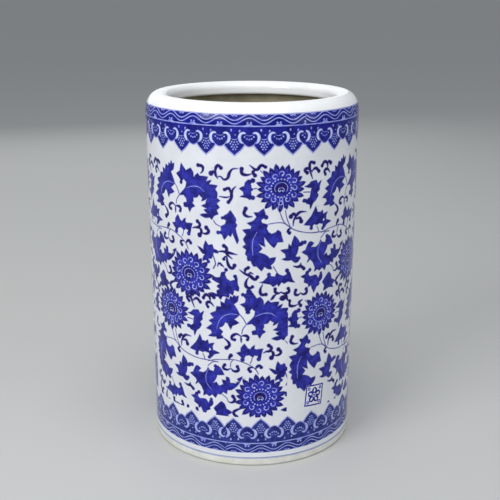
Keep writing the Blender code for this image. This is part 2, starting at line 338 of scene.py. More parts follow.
# Motifs left of the first upper seam, each where it lies on the wall.
LEFT_HALF = [
    *stem((-100, 200.4), (-93.9, 202.2), (-87, 202.9), (-76.5, 203.2), (-70, 201.4), (-63, 198),
        (-58.2, 193.8), (-56.1, 189.5)),
    *stem((-76.5, 203.2), (-79, 201), (-79.8, 196.8)),
    *stem((-60.7, 206.7), (-61.2, 202.7), (-62.8, 199.6)),
    *stem((-64.3, 234.3), (-67.4, 230.5), (-68.6, 226.1)),
    *stem((-69.4, 243), (-67, 240), (-64.3, 234.3)),
    *stem((-64.3, 234.3), (-60, 238), (-56.6, 240.9)),
    *stem((-32.7, 187.7), (-31.6, 184.6), (-30.6, 180.5), (-32.7, 176.4), width=0.9),
    *stem((-25.7, 212.3), (-29.8, 214), (-31.8, 217)),
    *leaf((-73.2, 261.6), (-72.2, 258.6), (-69.6, 259.6), (-70.6, 254.6), (-74, 252.1), (-69.4, 243),
        (-74.5, 238.9), (-70.4, 235.8), (-76, 233.3), (-77.8, 230.2), (-80.1, 235.3), (-82.1, 236.3),
        (-84.2, 232.8), (-88, 231), (-84.7, 227.9), (-86.5, 225), (-84.2, 222.3), (-90.3, 221),
        (-90.8, 223), (-98, 223.1), (-94.4, 226), (-95.4, 228.5), (-99.5, 229.7), (-93.4, 234.3),
        (-96.7, 236.8), (-92, 239.4), (-95.2, 243), (-89.8, 245.5), (-89, 249.6), (-85, 249.6),
        (-85.2, 254.2), (-82, 252.7), (-80.4, 257.4), (-77.6, 256), (-76.4, 259.4), (-74.8, 257.8),
        spines=[((-71, 243), (-78, 243.5), (-84, 241), (-88, 236), (-90, 230))]),
    *leaf((-64.3, 234.3), (-57.7, 241.4), (-56.6, 245.5), (-59.2, 248.1), (-62.2, 245, 1.5), (-63.8, 248),
        (-67.3, 251.6), (-63.5, 254), (-61.7, 260.6), (-59.2, 257.8), (-56.6, 255.2), (-52, 257.8),
        (-49.5, 254.5), (-49.2, 250.6), (-45.4, 254.2), (-43.4, 252.1), (-36.2, 251.9), (-37.8, 248.1),
        (-33.2, 249.6), (-35.2, 246), (-28.1, 245.5), (-30, 242.5), (-28.1, 239.4), (-28.6, 235.3),
        (-26, 233.5), (-29, 231), (-26.5, 227.9), (-29, 225.6), (-27.6, 222.3), (-31.1, 220.5),
        (-33.2, 217.4), (-35.2, 219), (-39.3, 218.2), (-43.9, 220.3), (-41.3, 221.5), (-37.2, 222),
        (-40.3, 224.8), (-37.2, 226.1), (-42.3, 227.9), (-38.8, 229.7), (-37.2, 234.3), (-39.3, 232.8),
        (-42.3, 231.7), (-41.3, 234.3), (-44.4, 236.8), (-46.4, 234.3), (-50, 233.8), (-49.7, 231.2),
        (-51, 229.2), (-48.5, 226.9), (-51.5, 225.1), (-53.8, 221.5), (-55.6, 225.1), (-59.7, 225.1),
        (-60.2, 228.2), (-56.6, 229.2), (-57, 232.3), (-59.7, 234.8), spines=[((-56.6, 240.9), (-51, 243),
        (-44.4, 243), (-39.4, 239.6))]),
    *curl((-69.4, 224.1), (-73, 226.1), (-77, 224), (-77, 221.5), (-75, 221), ball=1.5),
    *curl((-69.4, 224.1), (-65.8, 224.6), (-63.3, 223), (-64, 221), ball=1.5),
    *curl((-69.4, 224.8), (-69.4, 221), (-69.4, 218.4), ball=0, width=1.4),
    *curl((-84.2, 222.3), (-80.6, 219), (-79.6, 216), (-82.3, 213.6), ball=2.0),
    *curl((-80.6, 202.7), (-80.3, 205), (-78.8, 207), ball=1.8),
    *leaf((-74, 209.3), (-70.4, 210.3), (-69.9, 213.9), (-66.8, 217.4), (-64.3, 213.4), (-62.2, 212.3),
        (-60.7, 214.4), (-58.2, 215.9), (-58.7, 212.9), (-57.1, 211.8), (-51.3, 212.3), (-52.6, 208.3),
        (-53.6, 203.7), (-55.4, 203.2, 1.8), (-56.1, 206.2), (-58.7, 206.7), (-60.2, 205.2), (-63.3, 207.2),
        (-66.3, 206.7), (-67.9, 204.2), (-69.1, 203.2, 1.8), (-70.4, 205.7)),
    *curl((-51.3, 208.3), (-48.5, 209.5), (-46.2, 209.5), (-44.1, 212), (-46.4, 214.6), ball=1.8),
    *curl((-47, 209.8), (-43.5, 208.5), (-42.9, 205.7), (-44.6, 203.4), ball=2.2),
    *curl((-43, 206), (-39.3, 205), (-36.2, 207.2), (-38.3, 210.2), ball=2.0),
    *curl((-42.9, 254.2), (-40.8, 256.2), (-40.8, 259.8), (-44.8, 260.6), ball=1.7),
    *curl((-27.7, 251.1), (-29.1, 253.2), (-30.6, 256.4), (-33.4, 255), ball=2.2),
    *curl((-29.1, 253.2), (-29.6, 258.3), (-27.6, 261.6), (-25, 259.8), ball=1.7),
    *curl((-28, 252.6), (-25.2, 252.8), (-22.7, 250.6), (-19.6, 251.9), (-18.1, 256.2), (-15.5, 259.3),
        (-11.4, 259.8), ball=0),
    *curl((-13, 245.5), (-15.5, 243), (-16.5, 239.9), (-16.8, 236), (-19.1, 232.6)),
    *curl((-17, 238.5), (-18.6, 243.6), (-22.2, 242.6), ball=1.5),
    *curl((-17, 237.6), (-20.5, 236.4), (-26.7, 236.8), ball=0, width=1.2),
    *leaf((-17.6, 226.1), (-14.5, 221.5), (-13, 219), (-13.5, 215.9), (-12.2, 214.4), (-13.5, 211.3),
        (-12.4, 206.7), (-10.9, 201.6), (-12.2, 198.6), (-14.5, 203.7), (-16, 207.8), (-17.6, 204.2),
        (-19.6, 205.7), (-22.9, 201.6), (-24.7, 205.7), (-28, 207.2, 1.5), (-25.2, 209.3), (-25.7, 212.3),
        (-22.1, 214.4), (-21.1, 217.4), (-24.2, 219.5, 1.3), (-22.7, 221.5), (-20.1, 223.1)),
    *curl((-79.6, 195.5), (-82.5, 194), (-86.2, 195.5), (-84.7, 198.2)),
    *curl((-79.6, 195.5), (-77, 192.8), (-73, 193.8), (-73.8, 197)),
    *curl((-60, 195.8), (-62.3, 196.1), (-64.4, 194.6), (-63, 192.5)),
    *curl((-58.6, 194.3), (-57.1, 196.5), (-54.9, 197.3), (-53.6, 195.6)),
    *flower(-55.6, 168.6, 21.4, 19.9),
    *curl((-71, 159), (-76, 157.6), (-79.3, 154.6), (-76.8, 151.2), ball=1.7),
    *leaf((-39.3, 199.4), (-36.7, 195.8), (-33.2, 196.8), (-32.1, 193.3), (-28.3, 191.9), (-28.3, 189.6),
        (-32.1, 190.2), (-32.7, 187.7), (-34.2, 184.6), (-36.7, 184.6), (-36.9, 182, 1.5), (-39.3, 183.1),
        (-42.3, 182), (-41.3, 186.1), (-39.8, 187.7), (-42.3, 188.2), (-46.9, 194), (-43.4, 192.8),
        (-41.3, 191.6), (-41.3, 193.8)),
    *curl((-28.8, 178.6), (-27.6, 181.6), (-25.6, 180.3), (-23.3, 178.6), ball=0, width=1.7),
    *curl((-16.4, 186), (-20.9, 190), (-21.1, 194.8), (-23.2, 196.4), ball=1.8, width=2.3),
    *curl((-21, 190), (-20.4, 183.1), (-18.6, 179), (-16, 178), (-14.5, 180.4), ball=1.8),
    *curl((-20.7, 187.8), (-22.4, 187.2), (-23.4, 185.3), ball=1.5, width=1.4),
    *curl((-29, 190.6), (-25.2, 191.7), (-19, 190.8), (-12.2, 189.6), ball=0, width=2.4),
    *leaf((-21.6, 176.4, 1.5), (-22.7, 172.3), (-21.1, 168.8), (-18.1, 167), (-14.5, 168.2),
        (-14.1, 171.1, 1.6), (-12.2, 170.3), (-11.9, 164.7), (-10.7, 161.6), (-11.2, 158.6), (-15, 159.6),
        (-16, 155), (-18.6, 156.5), (-19.6, 152.5), (-22.7, 153.5), (-24.7, 153.5), (-26.5, 150.4),
        (-28.8, 153), (-34.4, 152.5), (-38, 154.5), (-33.9, 156), (-29.8, 155), (-29.8, 158.1),
        (-27.2, 159.6), (-29.8, 161.6), (-27.2, 164.2), (-33.9, 167.2), (-33.4, 170.3), (-29.8, 169.3),
        (-26.7, 169.8), (-25.7, 173.9), (-22.9, 174.9)),
]

# Motifs right of the first upper seam, each where it lies on the wall.
RIGHT_HALF = [
    *stem((21.7, 225.6), (25.8, 215.9), (31.4, 211.3)),
    *stem((26.8, 225.6), (28.4, 218), (31.4, 211.3)),
    *stem((13, 214.9), (20.2, 215.7), (25.8, 214.9), (32.8, 209.8), (40.4, 206.7), (50.6, 204.4),
        (59.8, 203.9), (70.8, 202.9)),
    *stem((68.5, 203.4), (64.9, 202.1), (60.8, 198.6)),
    *stem((42.4, 238.9), (45, 238.8), (49, 238.4)),
    *stem((56.2, 209.3), (57.6, 207), (58.3, 204.2)),
    *stem((0.8, 243.5), (1.9, 243.9), (3.6, 244)),
    *stem((6.4, 258.3), (8, 256.6), (9.6, 255.7)),
    *stem((20.2, 174.4), (18.6, 177), (17.1, 179.5)),
    *stem((71.5, 174.4), (76.6, 170.3), (77.7, 167.2)),
    *curl((-0.6, 255.8), (-4.3, 254.8), (-8.2, 256), (-8.4, 259.6), ball=1.8),
    *curl((3.8, 259.4), (0.5, 257.2), (2.1, 254.4), ball=1.7),
    *leaf((-10.4, 244), (-6.3, 246), (-5.8, 248.6), (-3.3, 251.1), (0.3, 250.4, 1.9), (-1.2, 247.6),
        (-0.7, 244.5), (0.8, 243.5), (-1.2, 241.4), (-0.7, 239), (0.3, 236.6, 1.8), (-2.2, 234.8),
        (-4.3, 236.3), (-9.9, 237.3), (-6.8, 238.9), (-7.3, 241.4)),
    *flower(23.2, 243.6, 19.9, 18.6, turned=0.1, stalks=True),
    *curl((0, 221.3), (-3.6, 221.3), (-6.6, 223.6), (-5.3, 227.8), ball=1.8),
    *leaf((1.3, 224.6), (4.9, 224.6), (9, 227.7), (10.3, 224.1), (11, 220.6, 1.8), (8.5, 219.5), (6.9, 218),
        (8, 215.9), (12.6, 214.4), (11.5, 211.3), (13, 208.3), (15.6, 206.7), (18.7, 207.8), (20.7, 209.8),
        (23.3, 207.8), (23.8, 205.2), (25.3, 199.6), (20.7, 199.6), (17.7, 195), (14.1, 198.4),
        (9.6, 204.6), (9.8, 199.4), (10.5, 196.3), (4.4, 199.4), (8, 194.8), (4.9, 191.7), (9.5, 190.2),
        (12.6, 188.2), (14, 186.5), (19.2, 187.1), (18.2, 183.6), (15.1, 180.5), (16.1, 177.4), (13, 177.4),
        (10, 179.5), (7.4, 175.9), (4.9, 178.5), (3.4, 180), (0.8, 180), (-1.2, 184.6), (-3.8, 184.6),
        (-4.3, 188.7), (-5.8, 190.2), (-4.8, 193.8), (-7.9, 196.3), (-5.3, 198.4), (-7.3, 202.7),
        (-4.8, 206.7), (-7.9, 210.3), (-1.2, 211.3), (-0.7, 213.4), (-4.3, 215.9), (0.8, 218), (3.4, 221),
        spines=[((3.9, 208.8), (0.8, 202.7), (0, 196), (0.6, 189))]),
    *curl((32.4, 211), (30.6, 210), (29.2, 208), (30.6, 206.6)),
    *curl((36.6, 217.2), (35.8, 220), (34, 222), (31.6, 220), ball=2.0),
    *curl((33.6, 212), (34.4, 217.2), (38.9, 222.6), (45.5, 222.8), ball=0),
    *curl((35.4, 217.6), (39.4, 218.2), (40.8, 215.2), ball=2.0),
    *curl((50.6, 254.7), (46, 257.8), (43.3, 256.8), (45.5, 254.4), ball=1.7),
    *curl((50.8, 249), (48, 257), (48.4, 262.4), (52, 261.8)),
    *curl((49.6, 255.2), (53.6, 257.4), (57, 254.6), ball=1.7),
    *curl((66.3, 254.8), (66.2, 259.6), (62.8, 261.6), (60.3, 258.6), ball=1.7),
    *curl((65.6, 258.2), (67.6, 261.2), (70, 259.8), ball=1.8),
    *curl((69.6, 252), (66, 255.4), (63, 254), (64.1, 251.2), ball=1.5),
    *leaf((43, 243.5), (46.5, 244.5), (49.6, 247), (54.7, 247.6), (56.2, 244.5), (60, 247), (58.3, 242.4),
        (58.3, 239.4), (55.7, 237.3), (57.2, 234.8), (54.7, 231.2), (52.1, 229.2), (49.3, 224.1),
        (48.6, 228.2), (45.5, 229.2), (43.2, 231.9, 1.6), (44, 233.5), (46, 232.7), (48.6, 234.3),
        (49.1, 237.9), (50.1, 241.6)),
    *leaf((43.5, 211.8), (47.6, 215.9), (50.6, 219), (52.7, 222.6), (54.7, 226.1), (56.7, 221),
        (59.8, 220.5), (62.1, 222), (62.9, 218.5), (68, 219.7), (66.4, 216.9), (66.4, 213.4), (72.6, 211.1),
        (67.4, 209.3), (64.9, 206.7), (62.7, 206.6, 1.5), (62.6, 210.4), (58.8, 211.3), (56.7, 210.3),
        (53.2, 211.3), (50.6, 208.5, 1.6), (49, 210.8), gaps=[((62.6, 212.4), (64.6, 213.2),
        (63.6, 215.2))]),
    *leaf((35, 204), (38.4, 200.4), (39.9, 197.3), (42.4, 198.9), (44.7, 197.2, 1.6), (42.5, 194.9),
        (38.9, 194.3), (37.9, 189.2), (36.2, 186.6), (39.3, 184.4, 1.5), (39.4, 182), (36.8, 180.8),
        (34.3, 182), (32.8, 183.6), (27.7, 183.6), (24.3, 185.1), (27.7, 186.1), (27.1, 189.2),
        (23.1, 192.8), (29.7, 193.3), (30.2, 197.3), (32.2, 195.3), (33.3, 199.9)),
    *curl((34.6, 178.3), (38, 177.2), (41.2, 177.4), (44.2, 175), ball=1.7),
    *curl((39.6, 177.3), (41, 178.8), (41.4, 180.2), ball=0, width=1.5),
    *leaf((50.6, 197.3), (53.7, 195.3), (50.6, 192.2), (55.7, 191.7), (58.8, 193.8), (60.8, 197.3),
        (62.3, 194.8), (65.9, 194), (68, 198.9, 1.6), (70.5, 199.4), (73.1, 196.8), (75.4, 191.7),
        (69, 191.2), (68, 188.2), (64.4, 183.1), (68, 184.6), (69.5, 182), (71, 181.5), (74.1, 183.1),
        (73.1, 187.1), (76.6, 186.6), (77.1, 190.2), (79.7, 189.2), (80.2, 184.6), (85.8, 184.1),
        (88.4, 186.1), (86.3, 188.2), (91.4, 190.7), (86.8, 182.6), (80.7, 178), (77.5, 178), (76.6, 174.4),
        (73.5, 176), (71, 173.4), (68.5, 174), (66.2, 170), (63.4, 172.8), (60.3, 170.8), (57.8, 172.3),
        (54.7, 170.8), (55.2, 174.4), (52.7, 179.5), (50.1, 182), (47, 179.5), (48.6, 183), (47.6, 185.6),
        (41.9, 189.2), (45.5, 190.7), (47, 194.3), (48.6, 196.8), spines=[((61.6, 196.4), (58.4, 190),
        (58.6, 183), (63, 176.6))]),
    *leaf((50.1, 172.9, 1.6), (46.5, 172.3), (45.5, 169.8), (41.4, 168.5), (45, 166.2), (44.5, 163.2),
        (48.6, 161.1), (49.1, 158.3), (51.6, 159.6), (54.7, 152.5), (57.2, 157), (60.8, 158.8),
        (60.3, 160.6), (63.4, 163.2), (63.9, 166.2), (62.1, 168, 1.4), (60.3, 166.7), (59.3, 164.2),
        (56.7, 167.8), (50.6, 167.2), (48.6, 169.3)),
    *leaf((71.5, 167.2), (74.1, 165.2), (75.6, 160.6), (80.7, 157.6), (76.5, 155), (78.2, 152.5),
        (72.6, 153.5), (65.4, 151.9), (66.4, 156.5), (63.9, 160.1), (66.9, 163.2)),
    *curl((77.7, 167.2), (80.6, 166.6), (83.4, 168.8), (82, 172.3), ball=1.8),
    *curl((22.5, 152), (23.8, 150.7), (26.4, 150.6), (28.4, 152.1), ball=1.1, width=1.7),
    *curl((41.8, 154.6), (39.2, 152.9), (36.4, 154.2), (37, 157.2)),
    *curl((41.2, 154.6), (44.2, 152.8), (47.4, 154), (47, 157), ball=1.7),
]

# Motifs missing from the lower row's first sheet: a curl trimmed off its top, and the tooth leaf, the
# leaf with a curl at each end and their scrolls, which the mark displaces.
CLEARED = [
    *curl((-2.2, 262.6), (3.4, 259), (7, 262.4), (10.3, 261), ball=1.5),
    *curl((-10.4, 177), (-6.3, 173.9), (-2.2, 172.2), (2.2, 168.9), (4.1, 170.9), ball=1.7, width=2.4),
    *curl((-5.6, 173.6), (-5.8, 177), (-3.3, 178.8)),
    *curl((-3.4, 172.4), (-1.8, 174.6), (0.9, 173.4), ball=0, width=1.5),
    *curl((-2.8, 170.8), (-4.8, 167.8), (-5.2, 163.4), (-2, 161.4), (0.1, 162.7), ball=1.5, width=2.4),
    *leaf((-4.3, 160.6), (-1.2, 160.1), (0.3, 157.6), (3.4, 153), (7.4, 152), (8.2, 148.6), (4, 147),
        (0.8, 145.8), (-2.5, 142.2), (-4, 140.7, 1.5), (-5.8, 142.2), (-6.3, 144.8), (-9.9, 147.3),
        (-5.8, 148.9), (-5.3, 151.9), (-7.7, 155.8, 1.5), (-5, 156.9)),
    *leaf((5.4, 166.2), (8.5, 167.2), (11.5, 169.8), (13.6, 172.7, 1.6), (15.6, 171.3), (18.7, 170.8),
        (20.2, 174.4), (22.2, 172.3), (25.8, 170.8), (28.4, 171.8), (28.9, 175.2, 1.7), (31.2, 173.9),
        (33, 169.3), (34, 166.7), (36.3, 164.2), (29.9, 165.7), (26.3, 164.2), (24.3, 165.7), (21.7, 162.1),
        (20.7, 164.2), (17.1, 162.1), (15.1, 164.2), (11, 165.2)),
    *curl((8.5, 164.7), (6.6, 160.1), (7.4, 156), (11.2, 155.9), ball=1.7),
    *curl((24.4, 157.4), (21.6, 156.2), (19, 157.6), (18.9, 160.1)),
    *curl((23.4, 157.2), (27.4, 155.6), (31, 157), (30.2, 159.6), width=2.4),
    *curl((15.1, 150.9), (17.1, 153.5), (21, 156.2), ball=0, width=1.7),
]

# The shift from the right half's place on the wall to its place in the repeat.
RIGHT_SHIFT = (11.0, -2.5)


def scroll_unit(whole=True):
    """One repeat: x from 0 at a sheet's left edge, z as the upper row shows it."""
    right = RIGHT_HALF + (CLEARED if whole else [])
    return moved(LEFT_HALF, -UPPER_SCROLL_START, 0.0) + moved(right, *RIGHT_SHIFT)


# ---- the border print ----

# Ranks within the border, from its soft edges up to its details and the pale strip at its top.
SOFT, OUTLINE, STRIP, BODY, LINES, MOUND_DOTS, DETAILS, HORN, TOP = range(80, 89)


def pale(line, rank=DETAILS):
    return mark("band_pale", line, rank)


def dots(*places, radius, rank=DETAILS):
    return [pale(circle(x, z, radius, 10), rank) for x, z in places]


def crescent(side):
    """One of a heart's two white horns."""
    outer = ((2.4, 287.5), (4.4, 288.7), (7.0, 287.9), (8.7, 285.6), (8.9, 283.4), (8.2, 281.2),
             (6.8, 279.7), (4.9, 279.1))
    inner = ((5.4, 280.7), (6.1, 282.6), (6.3, 284.6), (5.7, 286.2), (4.6, 286.9), (3.4, 286.8))
    return smooth([(side * x, z) for x, z in outer + inner], closed=True)


def border_tile(pitch):
    """One heart and, half a pitch to its right, one lappet; x from the heart's centre."""
    half = pitch / 2
    strip_half = half + 0.01
    lappet = anticlockwise(np.array([
        (-8.4, 281.0), (-7.7, 278.1), (-5.5, 275.3), (-2.9, 272.9), (0.0, 270.5), (2.9, 272.9),
        (5.5, 275.3), (7.7, 278.1), (8.4, 281.0)]) + (half, 0.0))
    heart = smooth([(-6.0, 283.0), (-4.6, 279.8), (-2.4, 278.0), (0.0, 277.2), (2.4, 278.0),
                    (4.6, 279.8), (6.0, 283.0), (0.0, 288.0)], closed=True, tip_angle=100)
    chin = smooth([(-5.2, 281.0), (-4.5, 279.5), (-2.4, 277.8), (0.0, 277.0), (2.4, 277.8), (4.5, 279.5),
                   (5.2, 281.0)])
    mound = smooth([(-3.4, 293.2), (3.4, 293.2), (2.0, 294.4), (0.0, 294.7), (-2.0, 294.4)], closed=True)
    brow = smooth([(-3, 286.2), (0, 285.5), (3, 286.2)])
    lid = smooth([(half - 2.4, 283.1), (half, 282.3), (half + 2.4, 283.1)])
    marks = [mark("halo", grown(lappet, 1.2), SOFT), pale(grown(lappet, 0.45), OUTLINE),
             mark("halo", grown(heart, 0.9), SOFT), pale(grown(heart, 0.35), OUTLINE),
             mark("band", box(strip_half, 280.8, 302.8), STRIP), mark("band", lappet, BODY),
             mark("band", heart, BODY), pale(ribbon(chin, 0.5, 0.5, 0.5), LINES)]
    x = np.linspace(-strip_half, strip_half, 25)
    for centre in (299.6, 296.9):
        wave = np.stack([x, centre + 2.25 * np.cos(2 * math.pi * x / pitch)], 1)
        marks.append(pale(ribbon(wave, 0.8, 0.8, 0.8), LINES))
    marks += [pale(box(strip_half, 292.4, 293.35), LINES), pale(mound, LINES)]
    marks += dots((-1.3, 295.5), (1.3, 295.5), radius=0.85, rank=MOUND_DOTS)
    for side in (-1, 1):
        horn = crescent(side)
        marks += [pale(horn), mark("horn", grown(horn, -0.42), HORN)]
    marks += [mark("halo", box(strip_half, 301.6, 302.8), TOP), pale(ribbon(brow, 0.2, 0.45, 0.2))]
    beads = [(bead, 282.6 + 0.16 * bead * bead) for bead in (-3.6, -1.8, 0.0, 1.8, 3.6)]
    marks += dots(*beads, radius=0.68)
    marks += dots((half - 2.4, 290.0), (half + 4.3, 289.4), radius=0.75)
    marks += dots((half - 2.3, 289.2), (half + 4.0, 288.6), (half + 0.8, 286.1), radius=0.55)
    marks.append(pale(ribbon(lid, 0.3, 0.6, 0.3)))
    for count, height in ((5, 280.4), (4, 278.4), (3, 276.5), (2, 274.8)):
        row = [(i - (count - 1) / 2) * 2.05 for i in range(count)]
        marks += dots(*[(half + across, height + 0.09 * across * across) for across in row], radius=0.68)
    for side in (-1, 1):
        hook = [(half + side * 3.0, 302.4), (half + side * 1.9, 300.9), (half + side * 0.8, 300.6),
                (half, 302.0)]
        marks.append(pale(ribbon(smooth(hook), 0.5, 0.8, 0.4)))
    return marks


def mirrored(marks, low_plus_high):
    """The marks upside down, for the lower border."""
    return [(rank, ink, np.stack([line[:, 0], low_plus_high - line[:, 1]], 1)[::-1])
            for rank, ink, line in marks]


def blossom_mark():
    """A plain five-petalled blossom in a square frame, about its own centre."""
    frame_edge, field, outer, core, ring, eye = range(50, 56)
    marks = [mark("leaf", box(9.7, -9.7, 9.7), frame_edge), mark("ground", box(8.4, -8.4, 8.4), field)]
    for i in range(5):
        angle = math.pi / 2 + 2 * math.pi * i / 5
        marks.append(mark("leaf", petal((0, 0), (1, 1), angle, 0.8, 7.6, 2.9, blunt=0.62), outer))
        marks.append(mark("ground", petal((0, 0), (1, 1), angle, 2.8, 6.0, 0.9), core))
    marks += [mark("ground", circle(0, 0, 1.8, 12), ring), mark("leaf", circle(0, 0, 1.1, 12), eye)]
    for x, z in box(6.3, -6.3, 6.3):
        marks += [mark("leaf", circle(x, z, 1.6, 10), outer), mark("ground", circle(x, z, 0.6, 8), core)]
    return marks


# ---- sheets of print as solid geometry ----

def cone_radius(z):
    return FOOT_RADIUS + (MOUTH_RADIUS - FOOT_RADIUS) * z / HEIGHT


def outer_radius(z):
    """The body's outside: a slight cone, drawn in at the top as a quarter ellipse."""
    z = np.asarray(z, float)
    rise = np.clip((z - ROUNDING_Z) / LIP_ROUND_HEIGHT, 0, 1)
    return cone_radius(z) - LIP_ROUND_WIDTH * (1 - np.sqrt(1 - rise * rise))


def inner_radius(z):
    return cone_radius(z) - WALL_THICKNESS


def on_wall(points, depth):
    """Points (x, z) of the unrolled wall in space, in metres, at a depth below its surface."""
    angle = points[:, 0] / MOUTH_RADIUS
    radius = outer_radius(points[:, 1]) - depth
    return MM * np.stack([radius * np.sin(angle), -radius * np.cos(angle), points[:, 1]], 1)


def wall_normals(points):
    step = 0.05
    angle = points[:, 0] / MOUTH_RADIUS
    lean = (outer_radius(points[:, 1] + step) - outer_radius(points[:, 1] - step)) / (2 * step)
    return unit(np.stack([np.sin(angle), -np.cos(angle), -lean], 1))


def inside(points, line):
    """Which points an anticlockwise outline winds round."""
    found = np.zeros(len(points), bool)
    near = np.flatnonzero(((points >= line.min(0)) & (points <= line.max(0))).all(1))
    if not len(near):
        return found
    x, z = points[near, 0][:, None], points[near, 1][:, None]
    x0, z0 = line[:, 0], line[:, 1]
    x1, z1 = np.roll(x0, -1), np.roll(z0, -1)
    left = (x1 - x0) * (z - z0) - (x - x0) * (z1 - z0)
    up = (z0 <= z) & (z1 > z) & (left > 0)
    down = (z0 > z) & (z1 <= z) & (left < 0)
    found[near] = (up.sum(1) - down.sum(1)) > 0
    return found


def grid_lines(x_low, x_high, z_low, z_high):
    """Straight lines across a sheet, so that its facets follow the wall's curve."""
    clear = 0.3
    first = math.ceil((x_low + clear) / COLUMN_STEP)
    last = math.floor((x_high - clear) / COLUMN_STEP)
    lines = [((i * COLUMN_STEP, z_low), (i * COLUMN_STEP, z_high)) for i in range(first, last + 1)]
    for i in range(9):
        z = ROUNDING_Z + LIP_ROUND_HEIGHT * math.sin(math.radians(4.6 * i))
        if z_low + clear < z < z_high - clear:
            lines.append(((x_low, z), (x_high, z)))
    return lines


def joined(loops):
    """The corners of closed loops, and the edges between them."""
    corners, edges = [], []
    for loop in loops:
        start = len(corners)
        corners.extend(loop.tolist())
        edges.extend((start + i, start + (i + 1) % len(loop)) for i in range(len(loop)))
    return corners, edges


def triangulated(corners, edges, lines):
    """A constrained triangulation of edges and straight lines: corners and triangles."""
    for ends in lines:
        edges.append((len(corners), len(corners) + 1))
        corners.extend(ends)
    made = geometry.delaunay_2d_cdt([Vector(c) for c in corners], edges, [], 0, 2e-4, False)
    return np.array([tuple(v) for v in made[0]]), np.array(made[2], int).reshape(-1, 3)


def kept(points, faces, rectangle, hole):
    centres = points[faces].mean(1)
    keep = inside(centres, rectangle)
    if hole is not None:
        keep &= ~inside(centres, hole)
    return faces[keep], centres[keep]


def used_only(points, faces):
    used, index = np.unique(faces, return_inverse=True)
    return points[used], index.reshape(faces.shape)


def rim_edges(faces):
    """The directed edges that only one triangle has."""
    ends = np.concatenate([faces[:, [0, 1]], faces[:, [1, 2]], faces[:, [2, 0]]])
    key = np.sort(ends, axis=1)
    _, index, count = np.unique(key, axis=0, return_index=True, return_counts=True)
    return ends[index[count == 1]]


def plain_back(front, rim, lines, rectangle, hole):
    """The sheet's back: the front's rim, filled with as few triangles as follow the wall."""
    rim_points, index = np.unique(rim, return_inverse=True)
    index = index.reshape(rim.shape)
    edges = [tuple(pair) for pair in index.tolist()]
    points, faces = triangulated(front[rim_points].tolist(), edges, lines)
    faces, _ = kept(points, faces, rectangle, hole)
    points, faces = used_only(points, faces)
    gap = np.linalg.norm(points[:, None] - front[rim_points][None], axis=2)
    nearest = gap.argmin(1)
    match = np.where(gap.min(1) < 1e-3, rim_points[nearest], -1)
    own_rim = rim_edges(faces)
    same = {frozenset(pair) for pair in match[own_rim].tolist()} == {frozenset(p) for p in rim.tolist()}
    return (points, faces, match) if same and (match[own_rim] >= 0).all() else None


def sheet_mesh(name, marks, x_low, x_high, z_low, z_high, hole=None, outline=None):
    """A thin closed solid on the wall whose front is divided along the print's outlines."""
    low = np.array([x_low, z_low]) + SEAM_GAP / 2
    high = np.array([x_high, z_high]) - SEAM_GAP / 2
    rectangle = np.array([low, (high[0], low[1]), high, (low[0], high[1])]) if outline is None else outline
    near = [m for m in marks if (m[2].max(0) > low).all() and (m[2].min(0) < high).all()]
    near.sort(key=lambda m: m[0])
    lines = grid_lines(low[0], high[0], low[1], high[1])
    loops = [rectangle] + ([hole] if hole is not None else []) + [m[2] for m in near]
    points, faces = triangulated(*joined(loops), lines)
    faces, centres = kept(points, faces, rectangle, hole)
    inks = np.zeros(len(faces), int)
    for _, ink, line in near:
        inks[inside(centres, line)] = INK[ink]
    front, faces = used_only(points, faces)
    rim = rim_edges(faces)
    back = plain_back(front, rim, lines, rectangle, hole)
    if back is None:
        numbers = np.arange(len(front))
        back = (front, faces, np.where(np.isin(numbers, rim), numbers, -1))
    back_points, back_faces, match = back
    offset = len(front)
    under = np.full(len(front), -1)
    under[match[match >= 0]] = np.flatnonzero(match >= 0) + offset
    walls = np.concatenate([
        np.stack([rim[:, 1], rim[:, 0], under[rim[:, 0]]], 1),
        np.stack([rim[:, 1], under[rim[:, 0]], under[rim[:, 1]]], 1)])
    every = np.concatenate([faces, back_faces[:, ::-1] + offset, walls])
    space = np.concatenate([on_wall(front, 0.0), on_wall(back_points, SHEET_THICKNESS)])
    mesh = triangle_mesh(name, space, every)
    mesh.polygons.foreach_set("material_index", np.concatenate(
        [inks, np.zeros(len(every) - len(faces), int)]).astype(np.int32))
    first, second, third = space[every].transpose(1, 0, 2)
    normals = np.repeat(unit(np.cross(second - first, third - first), 1e-15), 3, axis=0)
    normals[:3 * len(faces)] = wall_normals(front)[faces.ravel()]
    mesh.normals_split_custom_set(normals.tolist())
    return mesh


def triangle_mesh(name, points, faces):
    mesh = bpy.data.meshes.new(name)
    mesh.vertices.add(len(points))
    mesh.vertices.foreach_set("co", points.astype(np.float32).ravel())
    mesh.loops.add(3 * len(faces))
    mesh.loops.foreach_set("vertex_index", faces.astype(np.int32).ravel())
    mesh.polygons.add(len(faces))
    mesh.polygons.foreach_set("loop_start", np.arange(0, 3 * len(faces), 3, dtype=np.int32))
    mesh.update(calc_edges=True)
    mesh.polygons.foreach_set("use_smooth", np.ones(len(faces), bool))
    return mesh


def add_piece(name, mesh, node, materials):
    piece = bpy.data.objects.new(name, mesh)
    bpy.context.scene.collection.objects.link(piece)
    for material in materials:
        mesh.materials.append(material)
    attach(piece, "root")
    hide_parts(node)


# ---- turned pieces ----

def arc(centre_r, centre_z, radius, first_deg, last_deg, steps):
    angles = np.radians(np.linspace(first_deg, last_deg, steps + 1))
    return [(centre_r + radius * math.cos(a), centre_z + radius * math.sin(a)) for a in angles]


